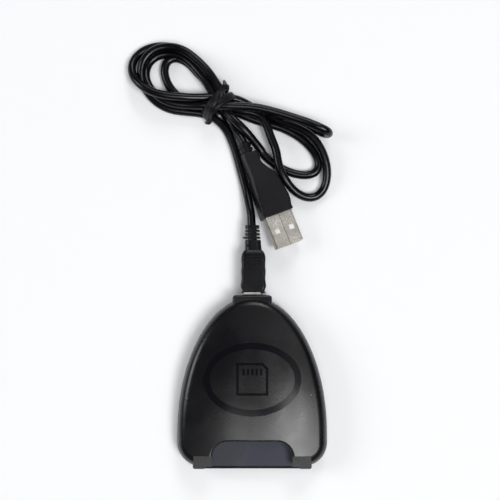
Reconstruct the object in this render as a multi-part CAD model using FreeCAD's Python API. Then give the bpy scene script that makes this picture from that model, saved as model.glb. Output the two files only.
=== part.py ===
"""Palm-size USB card reader with its loosely tied mini-USB lead. Millimetres.

+Z is up, +Y runs from the card mouth to the cable end, and the origin is on the
underside at the middle of the housing.
"""
import FreeCAD, Part
import math
import os

from FreeCAD import Placement, Rotation, Vector as V

os.makedirs("parts", exist_ok=True)
Z = V(0, 0, 1)

# --- Housing -------------------------------------------------------------
POD_WIDTH = 60.0           # widest part of the housing
POD_LENGTH = 70.0          # from the card mouth to the cable collar
WALL = 1.8                 # housing wall
FLOOR = 1.8                # lower case floor
CROWN_RISE = 3.8           # top of the crown above the card and one wall
SPLIT_Z = 6.4              # parting line between the two cases
RIM_R = 4.5                # rounding of the upper case's rim
CORNER_R = 9.4             # plan radius of the two nose corners
CROWN_LONG_R = 240.0       # crown radius seen from the side
CROWN_CROSS_R = 105.0      # crown radius seen from the end
LIP_STEP = 1.4             # how far the lower case's lip stands out in front
CASE_STEP = 0.25           # lower case stands this much outside the upper
BASE_ROUND = 1.0           # rounding round the underside
COLLAR_HALF = 8.0          # half width of the cable collar
COLLAR_TOP_Z = 10.8
COLLAR_BASE_Z = 1.0
COLLAR_ROUND = 1.2

# --- Card slot and finger notch ------------------------------------------
CARD_WIDTH = 33.0
CARD_LENGTH = 35.0
CARD_THICK = 3.8
CARD_SIDE_GAP = 0.5        # each side of the card
CARD_TOP_GAP = 0.8
SLOT_FLOOR_Z = 5.6
SLOT_BACK_GAP = 1.6        # free length behind the card
MOUTH_FLARE = 2.5          # extra half width at the mouth
MOUTH_DEPTH = 2.2          # how far in the flare runs
MOUTH_DROP = 0.8           # lead-in chamfer on the slot floor
NOTCH_DEPTH = 11.5
NOTCH_R = 6.5
NOTCH_EDGE_R = 0.9         # rounding along the notch's upper edge
LEDGE_DEPTH = 4.3          # flat ledges beside the notch
LEDGE_ROOF = 0.8           # ledge above the slot's ceiling

# --- Circuit board and what is on it -------------------------------------
BOARD_Z = 3.0
BOARD_THICK = 1.2
BOARD_GAP = 0.8            # board edge to wall
HOUSING_WALL = 1.9         # card connector, behind the card
HOUSING_ROOF = 0.6         # over the card
CONTACT_COUNT = 17
CONTACT_PITCH = 1.5
CONTACT_WIDTH = 0.6
CONTACT_THICK = 0.2
CONTACT_RISE = 0.6         # how far a contact stands above the slot floor
CONTACT_LENGTH = 8.2
CONTACT_GAP = 0.15         # between a spring contact and its fixed tail

CONTROLLER_HALF, CONTROLLER_HIGH = (3.6, 3.6), 1.3
MEMORY_HALF, MEMORY_HIGH = (2.0, 2.5), 1.5
CAPACITOR = (0.8, 0.4, 0.7)            # half length, half width, height
RESISTOR = (0.6, 0.35, 0.4)

# --- Screws --------------------------------------------------------------
SCREW_SHANK_R = 0.95
SCREW_HEAD_R = 1.9
SCREW_HEAD_H = 1.2
SCREW_LENGTH = 8.0
SCREW_CLEAR = 0.05
POST_R = 2.6
HEAD_RECESS = 1.5

# --- Mini-USB socket and plug --------------------------------------------
MINI_WIDTH = 6.8           # outside of the plug's shell
MINI_HEIGHT = 3.0
MINI_SHELL = 0.3
MINI_CLEAR = 0.12
MINI_INSERT = 6.6
SOCKET_LENGTH = 9.2
SOCKET_SETBACK = 0.8       # socket mouth behind the collar's face
TONGUE_HALF = 2.1
TONGUE_HALF_H = 0.5
MINI_PINS = [-1.6, -0.8, 0.0, 0.8, 1.6]
PIN_HALF = 0.17
PIN_DEEP = 0.14
GRIP_GAP = 1.1             # collar's face to the plug's grip
GRIP_LENGTH = 17.3
GRIP_HALF = 5.1
GRIP_ASIDE = 0.5           # the moulding sits this far to one side of its shell
GRIP_HEIGHT = 7.6
RELIEF_LENGTH = 10.4
RELIEF_WIDTH = 6.9         # where it meets the grip
RELIEF_TAIL_WIDTH = 5.8
RELIEF_HEIGHT = 6.0

# --- USB-A plug, lying rolled onto its right-hand edge --------------------
USBA_EDGE = V(10.3, 68.35, 5.8)    # middle of the grip's front face
USBA_TURN = 21.8                   # swing of its axis away from -Y
USBA_ROLL = 15.0
USBA_WIDTH = 12.0
USBA_HEIGHT = 4.5
USBA_SHELL = 0.3
USBA_OUT = 13.3
USBA_GRIP_LENGTH = 28.1
USBA_GRIP_THICK = 8.2
USBA_NECK_LENGTH = 4.7
USBA_WINDOW = 2.1
USBA_WINDOW_APART = 6.4
USBA_WINDOW_BACK = 6.8

# --- Cord ----------------------------------------------------------------
CORD_D = 3.5
TIE_X, TIE_Y = -14.5, 115.3
TIE_ANGLE = 48.0           # run of the tie's band across the bundle
TIE_SPAN = 15.6
TIE_HEIGHT = 10.6
TIE_WIDTH = 5.2
TIE_THICK = 0.5
LEAD_ROUTE = [             # mini plug's strain relief to the tied loops
    (-0.3, 68.2, 5.8), (-1.2, 73.0, 4.0), (-2.4, 78.5, 2.1), (-3.9, 84.5, 1.85),
    (-5.2, 90.5, 1.85), (-7.4, 97.3, 1.85), (-10.2, 103.4, 1.85), (-12.8, 106.9, 1.85),
]
TAIL_ROUTE = [             # tied loops to the USB-A plug's neck
    (-9.9, 110.0, 2.2), (-8.7, 107.5, 2.8), (-7.2, 104.8, 3.9), (-5.4, 101.6, 5.4),
]
HANK_TOP = 10.8

# --- Emblem in the crown ----------------------------------------------------
RING_HALF_X = 19.6
RING_HALF_Y = 14.6
RING_WIDTH = 2.6
RING_Y = 1.2
RING_DEEP = 0.45           # depth of the recess
RING_TOP = 0.15            # inlay's top below the crown

# --- Worked out from the sizes above ----------------------------------------
FRONT_Y = -POD_LENGTH / 2
COLLAR_Y = POD_LENGTH / 2
POD_HEIGHT = SLOT_FLOOR_Z + CARD_THICK + WALL + CROWN_RISE
UPPER_FRONT_Y = FRONT_Y + LIP_STEP
CROWN_TOP_Y = FRONT_Y + 29.0            # highest line of the crown, over the slot's end
WIDEST_Y = -POD_LENGTH * 2 / 7         # where the housing is widest
APEX_Y = COLLAR_Y - 0.9                # where the side curves would meet
LIP_HALF = POD_WIDTH / 2 - 6.0
LEDGE_HALF = POD_WIDTH / 2 - 6.5
NOTCH_HALF = CARD_WIDTH / 2 - 0.4      # finger notch in the upper case
SLOT_HALF = CARD_WIDTH / 2 + CARD_SIDE_GAP
HOUSING_HALF = SLOT_HALF + 2.0         # card connector
GUIDE_HALF = SLOT_HALF + 4.0           # block that holds the slot's side walls
GUIDE_BACK_Y = FRONT_Y + 13.4          # where the cases' part of the slot ends
BOARD_BACK_Y = COLLAR_Y - 5.0
SLOT_TOP_Z = SLOT_FLOOR_Z + CARD_THICK + CARD_TOP_GAP
SLOT_BACK_Y = FRONT_Y + CARD_LENGTH + SLOT_BACK_GAP
LEDGE_Z = SLOT_TOP_Z + LEDGE_ROOF
BOARD_TOP = BOARD_Z + BOARD_THICK
USB_Z = BOARD_TOP + 2.0                # middle of the mini socket
SCREW_PLACES = [
    (side * x, y) for x, y in ((POD_WIDTH / 2 - 6.2, FRONT_Y + 17.5), (13.6, COLLAR_Y - 17.0))
    for side in (-1, 1)]
GRIP_Y = COLLAR_Y + GRIP_GAP
RELIEF_Y = GRIP_Y + GRIP_LENGTH
CORD_EXIT = V(-0.2, RELIEF_Y + RELIEF_LENGTH, USB_Z)
SOCKET_MOUTH_Y = COLLAR_Y - SOCKET_SETBACK
SOCKET_BACK_Y = SOCKET_MOUTH_Y - SOCKET_LENGTH
PLUG_TIP_Y = SOCKET_MOUTH_Y - MINI_INSERT
NECK_FROM = V(-1.85, USBA_GRIP_LENGTH, 0)
NECK_TO = V(-1.8, USBA_GRIP_LENGTH + USBA_NECK_LENGTH, 0)
CHIP_Y = SLOT_BACK_Y + 12.9            # row of chips behind the card connector
CONTROLLER_PLACE = (-1.5, CHIP_Y)
MEMORY_PLACE = (8.6, CHIP_Y - 3.9)
CRYSTAL_PLACE = (-8.0, CHIP_Y + 0.5)
CAPACITOR_PLACES = [(x, CHIP_Y + y) for x, y in (
    (4.2, 5.0), (4.2, 7.0), (-4.8, 6.1), (2.0, -5.9), (-3.4, -5.9))]
RESISTOR_PLACES = [(x, CHIP_Y + y) for x, y in (
    (6.4, 2.7), (8.4, 2.7), (-4.4, -7.3), (0.0, -7.3), (3.6, -7.3))]
PIVOT_Y = SLOT_BACK_Y + 0.6
PIVOT_Z = SLOT_FLOOR_Z - 0.5


# --- Helpers ---------------------------------------------------------------
def box(x0, y0, z0, x1, y1, z1):
    return Part.makeBox(x1 - x0, y1 - y0, z1 - z0, V(x0, y0, z0))


def cylinder(radius, height, x, y, z, axis=Z):
    return Part.makeCylinder(radius, height, V(x, y, z), axis)


def prism(points, height, z):
    """A closed outline in plan, raised from z by height."""
    corners = [V(x, y, z) for x, y in points]
    wire = Part.makePolygon(corners + corners[:1])
    return Part.Face(wire).extrude(V(0, 0, height))


def prism_y(points, y0, y1):
    """A closed outline in x and z, run along y."""
    corners = [V(x, y0, z) for x, z in points]
    wire = Part.makePolygon(corners + corners[:1])
    return Part.Face(wire).extrude(V(0, y1 - y0, 0))


def upright(edge):
    a, b = edge.Vertexes[0].Point, edge.Vertexes[-1].Point
    return abs(a.x - b.x) < 1e-6 and abs(a.y - b.y) < 1e-6 and abs(a.z - b.z) > 1e-3


def upright_edges(shape):
    """Edges that run straight up."""
    return [edge for edge in shape.Edges if upright(edge)]


def rounded_box(x0, y0, z0, x1, y1, z1, radius):
    block = box(x0, y0, z0, x1, y1, z1)
    return block.makeFillet(radius, upright_edges(block))


def write(name, shape):
    """One sub-part to its own STEP file."""
    clean = shape.removeSplitter() if shape.ShapeType != "Compound" else shape
    if not clean.isValid():
        raise RuntimeError(name + " is not valid")
    clean.exportStep("parts/" + name + ".step")
    print(f"{name:28s} solids {len(clean.Solids):2d}  volume {clean.Volume:9.1f}")


# --- Housing shapes ----------------------------------------------------------
def plan_edges(inset):
    """Right-hand half of the housing's outline, drawn in by inset."""
    half = POD_WIDTH / 2 - inset
    reach = APEX_Y - WIDEST_Y - inset
    radius = CORNER_R - inset
    centre = V(0, WIDEST_Y, 0)
    side = Part.Ellipse(centre + V(0, reach, 0), centre + V(half, 0, 0), centre)
    corner_y = UPPER_FRONT_Y + CORNER_R
    corner_x = POD_WIDTH / 2 - CORNER_R
    slant = radius * math.sqrt(0.5)
    corner = Part.Arc(
        V(half, corner_y, 0),
        V(corner_x + slant, corner_y - slant, 0),
        V(corner_x, corner_y - radius, 0),
    )
    return [
        Part.Arc(side, 0, math.pi / 2).toShape(),
        Part.LineSegment(V(half, WIDEST_Y, 0), V(half, corner_y, 0)).toShape(),
        corner.toShape(),
    ]


def plan_face(inset):
    right = plan_edges(inset)
    left = [edge.mirror(V(0, 0, 0), V(1, 0, 0)) for edge in right]
    corner_x = POD_WIDTH / 2 - CORNER_R
    front_y = UPPER_FRONT_Y + inset
    front = Part.LineSegment(V(corner_x, front_y, 0), V(-corner_x, front_y, 0)).toShape()
    edges = Part.__sortEdges__(right + [front] + left)
    return Part.Face(Part.Wire(edges))


def column(inset, z0, z1):
    face = plan_face(inset)
    face.translate(V(0, 0, z0))
    return face.extrude(V(0, 0, z1 - z0))


def roof(depth):
    """Everything under the crowned top, depth below its surface."""
    centre = V(0, CROWN_TOP_Y, POD_HEIGHT - CROWN_LONG_R)
    ring_r = CROWN_LONG_R - CROWN_CROSS_R
    return Part.makeTorus(ring_r, CROWN_CROSS_R - depth, centre, V(1, 0, 0))


def dome(inset):
    """The crowned housing, drawn in by inset, with its rounded rim."""
    block = column(inset, 0, POD_HEIGHT + 2).common(roof(inset))
    rim = []
    for edge in block.Edges:
        box_ = edge.BoundBox
        if box_.ZMin > SPLIT_Z and box_.ZLength < 6 and not upright(edge):
            rim.append(edge)
    return block.makeFillet(RIM_R - inset, rim)


def slot_space():
    """The room the card slides in, with its flared mouth."""
    channel = box(-SLOT_HALF, FRONT_Y - 1, SLOT_FLOOR_Z, SLOT_HALF, SLOT_BACK_Y, SLOT_TOP_Z)
    flare = prism(
        [
            (-SLOT_HALF, FRONT_Y + MOUTH_DEPTH),
            (-SLOT_HALF - MOUTH_FLARE, FRONT_Y),
            (-SLOT_HALF - MOUTH_FLARE, FRONT_Y - 1),
            (SLOT_HALF + MOUTH_FLARE, FRONT_Y - 1),
            (SLOT_HALF + MOUTH_FLARE, FRONT_Y),
            (SLOT_HALF, FRONT_Y + MOUTH_DEPTH),
        ],
        SPLIT_Z - SLOT_FLOOR_Z,
        SLOT_FLOOR_Z,
    )
    reach = SLOT_HALF + MOUTH_FLARE
    drop = [
        V(-reach, FRONT_Y + 1.1, SLOT_FLOOR_Z),
        V(-reach, FRONT_Y - 1, SLOT_FLOOR_Z),
        V(-reach, FRONT_Y - 1, SLOT_FLOOR_Z - MOUTH_DROP),
        V(-reach, FRONT_Y, SLOT_FLOOR_Z - MOUTH_DROP),
    ]
    lead_in = Part.Face(Part.makePolygon(drop + drop[:1])).extrude(V(2 * reach, 0, 0))
    return channel.fuse(flare).fuse(lead_in)


def notch_space():
    """The finger notch, open at the nose and upwards."""
    back_y = FRONT_Y + NOTCH_DEPTH
    block = box(-NOTCH_HALF, FRONT_Y - 3, SLOT_FLOOR_Z, NOTCH_HALF, back_y, POD_HEIGHT + 3)
    inner = [e for e in upright_edges(block) if e.BoundBox.YMax > back_y - 0.1]
    return block.makeFillet(NOTCH_R, inner)


def nose_block():
    """Square-fronted block that carries the ledges."""
    back_y = UPPER_FRONT_Y + LEDGE_DEPTH + 1
    return rounded_box(-LEDGE_HALF, UPPER_FRONT_Y, SPLIT_Z, LEDGE_HALF, back_y, LEDGE_Z, 0.6)


def ledge_space():
    """Room over the flat ledges."""
    return box(-LEDGE_HALF, FRONT_Y - 3, LEDGE_Z, LEDGE_HALF, UPPER_FRONT_Y + LEDGE_DEPTH,
               POD_HEIGHT + 3)


def rounded_notch(body):
    """Cuts the finger notch and rounds its upper edge."""
    body = body.cut(notch_space())
    back_y = FRONT_Y + NOTCH_DEPTH
    rim = []
    for edge in body.Edges:
        middle = edge.valueAt((edge.FirstParameter + edge.LastParameter) / 2)
        inside = abs(middle.x) < NOTCH_HALF + 0.01 and middle.y < back_y + 0.01
        if inside and middle.z > LEDGE_Z + 0.5 and not upright(edge):
            rim.append(edge)
    return body.makeFillet(NOTCH_EDGE_R, rim)


def collar(z0, z1):
    block = box(-COLLAR_HALF, 24, COLLAR_BASE_Z, COLLAR_HALF, COLLAR_Y, COLLAR_TOP_Z)
    lip = [e for e in upright_edges(block) if e.BoundBox.YMax > COLLAR_Y - 0.1]
    block = block.makeFillet(COLLAR_ROUND, lip)
    top = [e for e in block.Edges if e.BoundBox.ZMin > COLLAR_TOP_Z - 0.01]
    top = [e for e in top if e.BoundBox.YMax > 26]
    block = block.makeFillet(COLLAR_ROUND * 0.9, top)
    return block.common(box(-20, 20, z0, 20, 40, z1))


def socket_hole():
    """The way in for the plug, through the collar."""
    half = MINI_WIDTH / 2 + 1.0
    high = MINI_HEIGHT / 2 + 0.9
    block = box(-half, 20, USB_Z - high, half, COLLAR_Y + 1, USB_Z + high)
    return block


def screw_spots(radius, z0, z1):
    return [cylinder(radius, z1 - z0, x, y, z0) for x, y in SCREW_PLACES]


def join(shapes):
    whole = shapes[0]
    for shape in shapes[1:]:
        whole = whole.fuse(shape)
    return whole


def plan_ring(half_x, half_y, width, centre_y):
    """An upright oval ring of even width."""
    z0 = SPLIT_Z
    high = POD_HEIGHT + 2 - z0

    def oval(a, b):
        curve = Part.Ellipse(V(0, centre_y, z0), a, b)
        return Part.Face(Part.Wire(curve.toShape())).extrude(V(0, 0, high))

    return oval(half_x, half_y).cut(oval(half_x - width, half_y - width))


def icon_blocks():
    """A plain card pictogram: a clipped outline over a row of bars."""
    z0, high = SPLIT_Z, POD_HEIGHT + 2 - SPLIT_Z
    x, low, top, clip, line = 6.4, RING_Y - 6.4, RING_Y + 6.6, 2.2, 1.0
    outer = [(-x, low), (x, low), (x, top - clip), (x - clip, top), (-x, top)]
    y = line * 0.4
    inner = [
        (-x + line, low + line), (x - line, low + line), (x - line, top - clip - y),
        (x - clip - y, top - line), (-x + line, top - line),
    ]
    outline = prism(outer, high, z0).cut(prism(inner, high, z0))
    bars = []
    for step in range(5):
        left = -3.9 + step * 1.75
        bars.append(box(left, top - 5.0, z0, left + 0.9, top - 2.4, z0 + high))
    return [outline] + bars


def upper_case():
    shell = dome(0).cut(dome(WALL)).common(box(-40, -40, SPLIT_Z, 40, 40, 30))
    inside = dome(WALL * 0.5)
    guide = box(-GUIDE_HALF, -40, SPLIT_Z, GUIDE_HALF, GUIDE_BACK_Y, 30).common(inside)
    posts = [p.common(inside) for p in screw_spots(POST_R, SPLIT_Z, 20)]
    mouth = collar(SPLIT_Z, 20).cut(dome(WALL))
    body = rounded_notch(join([shell, guide] + posts).removeSplitter())
    body = join([body, nose_block().cut(notch_space()), mouth])
    body = body.cut(join([slot_space(), ledge_space()]))
    pilots = screw_spots(SCREW_SHANK_R + SCREW_CLEAR, 0, HEAD_RECESS + SCREW_LENGTH + 0.4)
    body = body.cut(join(pilots + [socket_hole()]))
    badge = plan_ring(RING_HALF_X, RING_HALF_Y, RING_WIDTH, RING_Y)
    badge = badge.cut(roof(RING_DEEP))
    icon = join(icon_blocks()).cut(roof(RING_DEEP))
    return body.cut(badge).cut(icon)


def inlay(block):
    """What fills a recess in the crown, a little below flush."""
    return block.common(roof(RING_TOP)).cut(roof(RING_DEEP))


def lower_outer():
    block = column(-CASE_STEP, 0, SPLIT_Z)
    lip = rounded_box(-LIP_HALF, FRONT_Y, 0, LIP_HALF, FRONT_Y + 10, SPLIT_Z, 0.8)
    block = block.fuse(lip).fuse(collar(0, SPLIT_Z)).removeSplitter()
    edges = [e for e in block.Edges if e.BoundBox.ZMax < 0.01]
    edges = [e for e in edges if e.BoundBox.YMax < APEX_Y + 0.5]
    return block.makeChamfer(BASE_ROUND * 0.6, edges)


def lower_case():
    body = lower_outer()
    hollow = column(WALL, FLOOR, SPLIT_Z + 1)
    keep = box(-40, -40, 0, 40, GUIDE_BACK_Y, SPLIT_Z)
    hollow = hollow.cut(keep)
    post_walls = join(screw_spots(POST_R, FLOOR, SPLIT_Z))
    body = body.cut(hollow.cut(post_walls))
    rests = [rounded_box(x - 1.5, y - 1.5, FLOOR, x + 1.5, y + 1.5, BOARD_Z, 0.6)
             for x, y in ((-15.5, -10), (15.5, -10), (-8, 24), (8, 24))]
    body = join([body] + rests)
    body = body.cut(slot_space()).cut(socket_hole())
    holes = screw_spots(SCREW_SHANK_R + 0.2, -1, SPLIT_Z + 1)
    heads = screw_spots(SCREW_HEAD_R + 0.25, -1, HEAD_RECESS)
    return body.cut(join(holes + heads))


def case_screws():
    """Four pan-head screws, driven up from the underside."""
    made = []
    for x, y in SCREW_PLACES:
        head = cylinder(SCREW_HEAD_R, SCREW_HEAD_H, x, y, HEAD_RECESS - SCREW_HEAD_H)
        shank = cylinder(SCREW_SHANK_R, SCREW_LENGTH, x, y, HEAD_RECESS)
        slot_a = box(x - 1.1, y - 0.22, 0, x + 1.1, y + 0.22, 0.95)
        slot_b = box(x - 0.22, y - 1.1, 0, x + 0.22, y + 1.1, 0.95)
        made.append(head.fuse(shank).cut(slot_a).cut(slot_b).removeSplitter())
    return Part.makeCompound(made)


# --- Electronics -------------------------------------------------------------
def main_board():
    face = column(WALL + BOARD_GAP, BOARD_Z, BOARD_TOP)
    face = face.common(box(-40, GUIDE_BACK_Y + 0.6, 0, 40, BOARD_BACK_Y, 20))
    return face.cut(join(screw_spots(POST_R + 0.4, 0, 20)))


def contact_xs():
    start = -CONTACT_PITCH * (CONTACT_COUNT - 1) / 2
    return [start + CONTACT_PITCH * i for i in range(CONTACT_COUNT)]


def strip_yz(points, x, width):
    """A strip of sheet whose side view is the outline, centred on x."""
    corners = [V(x - width / 2, y, z) for y, z in points]
    wire = Part.makePolygon(corners + corners[:1])
    return Part.Face(wire).extrude(V(width, 0, 0))


def card_contacts():
    """Spring contacts that the card presses down."""
    t = CONTACT_THICK
    tip_y = PIVOT_Y - CONTACT_LENGTH
    bump = SLOT_FLOOR_Z + CONTACT_RISE
    side = [
        (PIVOT_Y, PIVOT_Z + t / 2), (PIVOT_Y - 1.2, PIVOT_Z + t / 2),
        (tip_y + 1.9, bump), (tip_y + 1.1, bump), (tip_y, SLOT_FLOOR_Z - 0.35),
        (tip_y + 0.15, SLOT_FLOOR_Z - 0.5), (tip_y + 1.2, bump - t),
        (tip_y + 1.8, bump - t), (PIVOT_Y - 1.2, PIVOT_Z - t / 2), (PIVOT_Y, PIVOT_Z - t / 2),
    ]
    return Part.makeCompound([strip_yz(side, x, CONTACT_WIDTH) for x in contact_xs()])


def contact_tails():
    """Fixed ends of the contacts, bent down to the board."""
    t = CONTACT_THICK
    y0 = PIVOT_Y + CONTACT_GAP
    y1 = SLOT_BACK_Y + HOUSING_WALL + 0.9
    side = [
        (y0, PIVOT_Z + t / 2), (y1 + t, PIVOT_Z + t / 2), (y1 + t, BOARD_TOP + t),
        (y1 + 1.2, BOARD_TOP + t), (y1 + 1.2, BOARD_TOP), (y1, BOARD_TOP),
        (y1, PIVOT_Z - t / 2), (y0, PIVOT_Z - t / 2),
    ]
    return Part.makeCompound([strip_yz(side, x, CONTACT_WIDTH) for x in contact_xs()])


def contact_window():
    half = CONTACT_PITCH * (CONTACT_COUNT - 1) / 2 + CONTACT_WIDTH / 2 + 0.4
    return box(-half, PIVOT_Y - CONTACT_LENGTH - 0.6, BOARD_TOP - 1, half, PIVOT_Y + 0.1, SLOT_FLOOR_Z + 0.9)


def card_slot_housing():
    y0 = GUIDE_BACK_Y + 0.2
    y1 = SLOT_BACK_Y + HOUSING_WALL
    body = box(-HOUSING_HALF, y0, BOARD_TOP, HOUSING_HALF, y1, SLOT_TOP_Z + HOUSING_ROOF)
    body = body.cut(box(-SLOT_HALF, y0 - 1, SLOT_FLOOR_Z, SLOT_HALF, SLOT_BACK_Y, SLOT_TOP_Z))
    front = box(-HOUSING_HALF - 1, y0 - 1, 0, HOUSING_HALF + 1, GUIDE_BACK_Y + 0.7, BOARD_TOP + 0.01)
    tails = contact_tails()
    return body.cut(front).cut(contact_window()).cut(tails)


def mini_profile(grow):
    """The D-like outline of the mini plug, grown by grow."""
    half, high = MINI_WIDTH / 2 + grow, MINI_HEIGHT / 2 + grow
    low_half = half - 0.85
    waist = -0.35
    return [
        (-half, USB_Z + high), (half, USB_Z + high), (half, USB_Z + waist),
        (low_half, USB_Z + waist - 0.5), (low_half, USB_Z - high),
        (-low_half, USB_Z - high), (-low_half, USB_Z + waist - 0.5), (-half, USB_Z + waist),
    ]


def usb_socket_shell():
    outer = prism_y(mini_profile(MINI_CLEAR + MINI_SHELL), SOCKET_BACK_Y, SOCKET_MOUTH_Y)
    inner = prism_y(mini_profile(MINI_CLEAR), SOCKET_BACK_Y + MINI_SHELL, SOCKET_MOUTH_Y + 1)
    low = USB_Z - MINI_HEIGHT / 2 - MINI_CLEAR - MINI_SHELL
    feet = []
    for side in (-1, 1):
        for y in (SOCKET_BACK_Y + 1.2, SOCKET_BACK_Y + 5.0):
            x0, x1 = sorted((side * 2.4, side * 4.6))
            feet.append(box(x0, y, BOARD_TOP, x1, y + 1.6, low + 0.1))
    return join([outer.cut(inner)] + [f.cut(inner) for f in feet])


def tongue_pins(y0, y1):
    """Pin strips set flush in the underside of the socket's tongue."""
    z0 = USB_Z - TONGUE_HALF_H
    return [box(x - PIN_HALF, y0, z0, x + PIN_HALF, y1, z0 + PIN_DEEP) for x in MINI_PINS]


def usb_socket_tongue():
    back = prism_y(mini_profile(MINI_CLEAR), SOCKET_BACK_Y + MINI_SHELL, PLUG_TIP_Y - 0.3)
    tongue = box(-TONGUE_HALF, SOCKET_BACK_Y + 1, USB_Z - TONGUE_HALF_H,
                 TONGUE_HALF, SOCKET_MOUTH_Y - 1.4, USB_Z + TONGUE_HALF_H)
    pins = tongue_pins(PLUG_TIP_Y - 0.3, SOCKET_MOUTH_Y - 1.8)
    return back.fuse(tongue).cut(join(pins))


def usb_socket_contacts():
    return Part.makeCompound(tongue_pins(PLUG_TIP_Y - 0.3, SOCKET_MOUTH_Y - 1.8))


def chip(x, y, half_x, half_y, high):
    body = rounded_box(x - half_x, y - half_y, BOARD_TOP + 0.1, x + half_x, y + half_y,
                       BOARD_TOP + 0.1 + high, 0.2)
    dot = cylinder(0.35, 0.1, x - half_x + 0.9, y + half_y - 0.9, BOARD_TOP + high)
    return body.cut(dot)


def chip_leads(x, y, half_x, half_y, count, pitch):
    """Gull-wing leads down both long sides of a chip."""
    made = []
    start = y - pitch * (count - 1) / 2
    for side in (-1, 1):
        for step in range(count):
            mid = start + pitch * step
            xs = sorted((x + side * half_x, x + side * (half_x + 1.0)))
            made.append(box(xs[0], mid - 0.15, BOARD_TOP, xs[1], mid + 0.15, BOARD_TOP + 0.3))
    return made


def crystal():
    x, y = CRYSTAL_PLACE
    return rounded_box(x - 1.4, y - 5.0, BOARD_TOP, x + 1.4, y + 5.0, BOARD_TOP + 3.2, 1.3)


def small_parts(places, half_x, half_y, high):
    return Part.makeCompound(
        [box(x - half_x, y - half_y, BOARD_TOP, x + half_x, y + half_y, BOARD_TOP + high)
         for x, y in places])


# --- Mini plug ----------------------------------------------------------------
def mini_plug_shell():
    outer = prism_y(mini_profile(0), PLUG_TIP_Y, GRIP_Y + 3)
    inner = prism_y(mini_profile(-MINI_SHELL), PLUG_TIP_Y - 1, GRIP_Y + 4)
    return outer.cut(inner)


def plug_cavity():
    """Room in the plug for the socket's tongue."""
    half, high = TONGUE_HALF + 0.12, TONGUE_HALF_H + 0.12
    return box(-half, PLUG_TIP_Y - 1, USB_Z - high, half, SOCKET_MOUTH_Y - 1.0, USB_Z + high)


def plug_pins():
    z1 = USB_Z - TONGUE_HALF_H - 0.12
    y0, y1 = PLUG_TIP_Y + 0.5, SOCKET_MOUTH_Y - 1.0
    return [box(x - PIN_HALF, y0, z1 - PIN_DEEP, x + PIN_HALF, y1, z1) for x in MINI_PINS]


def mini_plug_insulator():
    body = prism_y(mini_profile(-MINI_SHELL), PLUG_TIP_Y + 0.2, GRIP_Y + 3)
    return body.cut(plug_cavity()).cut(join(plug_pins()))


def rounded_section(width, height, radius, centre):
    """A rounded rectangle wire that faces along y."""
    block = rounded_box(-width / 2, -height / 2, 0, width / 2, height / 2, 1, radius)
    face = [f for f in block.Faces if f.BoundBox.ZMax < 0.01][0]
    wire = face.OuterWire.copy()
    wire.Placement = Placement(centre, Rotation(V(1, 0, 0), 90))
    return wire


def grip_rows():
    """Distance from the collar end, share of the width, share of the height."""
    return [(0, 1.0, 1.0), (2.2, 1.0, 1.0), (4.4, 0.975, 1.0), (6.6, 0.96, 1.0), (8.8, 0.98, 1.0),
            (11.0, 0.95, 1.0), (13.2, 0.97, 1.0), (14.8, 0.955, 0.99), (16.2, 0.87, 0.93),
            (GRIP_LENGTH, 0.72, 0.82)]


def mini_plug_grip():
    wires = []
    for s, wide, high in grip_rows():
        centre = V(GRIP_ASIDE, GRIP_Y + s, USB_Z)
        wires.append(rounded_section(2 * GRIP_HALF * wide, GRIP_HEIGHT * high, 1.2, centre))
    block = Part.makeLoft(wires, True)
    extras = []
    for face in (1, -1):
        z = USB_Z + face * GRIP_HEIGHT / 2
        for step in range(4):
            y = GRIP_Y + 10.9 + 1.25 * step
            extras.append(box(GRIP_ASIDE - 3.1, y, z - 0.3, GRIP_ASIDE + 3.1, y + 0.6, z + 0.35))
        arrow = [(GRIP_ASIDE - 1.3, GRIP_Y + 5.2), (GRIP_ASIDE, GRIP_Y + 2.6), (GRIP_ASIDE + 1.3, GRIP_Y + 5.2)]
        extras.append(prism(arrow, 0.5, z - 0.25))
    block = join([block] + extras)
    pits = [cylinder(0.4, 0.7, GRIP_ASIDE + x, GRIP_Y + 9.7, USB_Z + GRIP_HEIGHT / 2 - 0.6) for x in (-2.4, 2.4)]
    pocket = prism_y(mini_profile(0), GRIP_Y - 1, GRIP_Y + 3)
    return block.cut(join(pits + [pocket]))


def mini_plug_strain_relief():
    """Ribbed sleeve behind the grip, with a solid spine top and bottom."""
    y1 = RELIEF_Y + RELIEF_LENGTH
    thick, thin = RELIEF_HEIGHT, RELIEF_HEIGHT * 0.86
    body = Part.makeLoft([
        rounded_section(RELIEF_WIDTH, thick, thick * 0.36, V(GRIP_ASIDE, RELIEF_Y, USB_Z)),
        rounded_section(RELIEF_TAIL_WIDTH, thin, thin * 0.36, V(0, y1, USB_Z)),
    ], True)
    core = cylinder(CORD_D / 2 + 0.15, RELIEF_LENGTH + 2, 0, RELIEF_Y - 1, USB_Z, V(0, 1, 0))
    grooves = []
    for y in (4.3, 5.7, 7.1, 8.5):
        ring = box(-6, RELIEF_Y + y, USB_Z - 6, 6, RELIEF_Y + y + 0.7, USB_Z + 6)
        spine = box(-0.6, RELIEF_Y, USB_Z - 6, 1.0, y1, USB_Z + 6)
        grooves.append(ring.cut(spine).cut(core))
    nub = box(-3.9, RELIEF_Y + 5.1, USB_Z - 0.4, -2.7, RELIEF_Y + 5.7, USB_Z + 0.4)
    pits = [cylinder(0.4, 3, x, RELIEF_Y + 1.9, USB_Z + 1.6) for x in (-1.9, 2.8)]
    return body.fuse(nub).cut(join(grooves + pits))


def mini_plug_contacts():
    return Part.makeCompound(plug_pins())


# --- USB-A plug, made along -Y from the grip's front face at the origin --------
def usba_place(shape):
    """Rolls, swings and moves a piece of the USB-A plug to where it lies."""
    moved = shape.copy()
    roll = Placement(V(0, 0, 0), Rotation(V(0, 1, 0), USBA_ROLL))
    swing = Placement(USBA_EDGE, Rotation(Z, USBA_TURN))
    moved.Placement = swing.multiply(roll).multiply(moved.Placement)
    return moved


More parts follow.
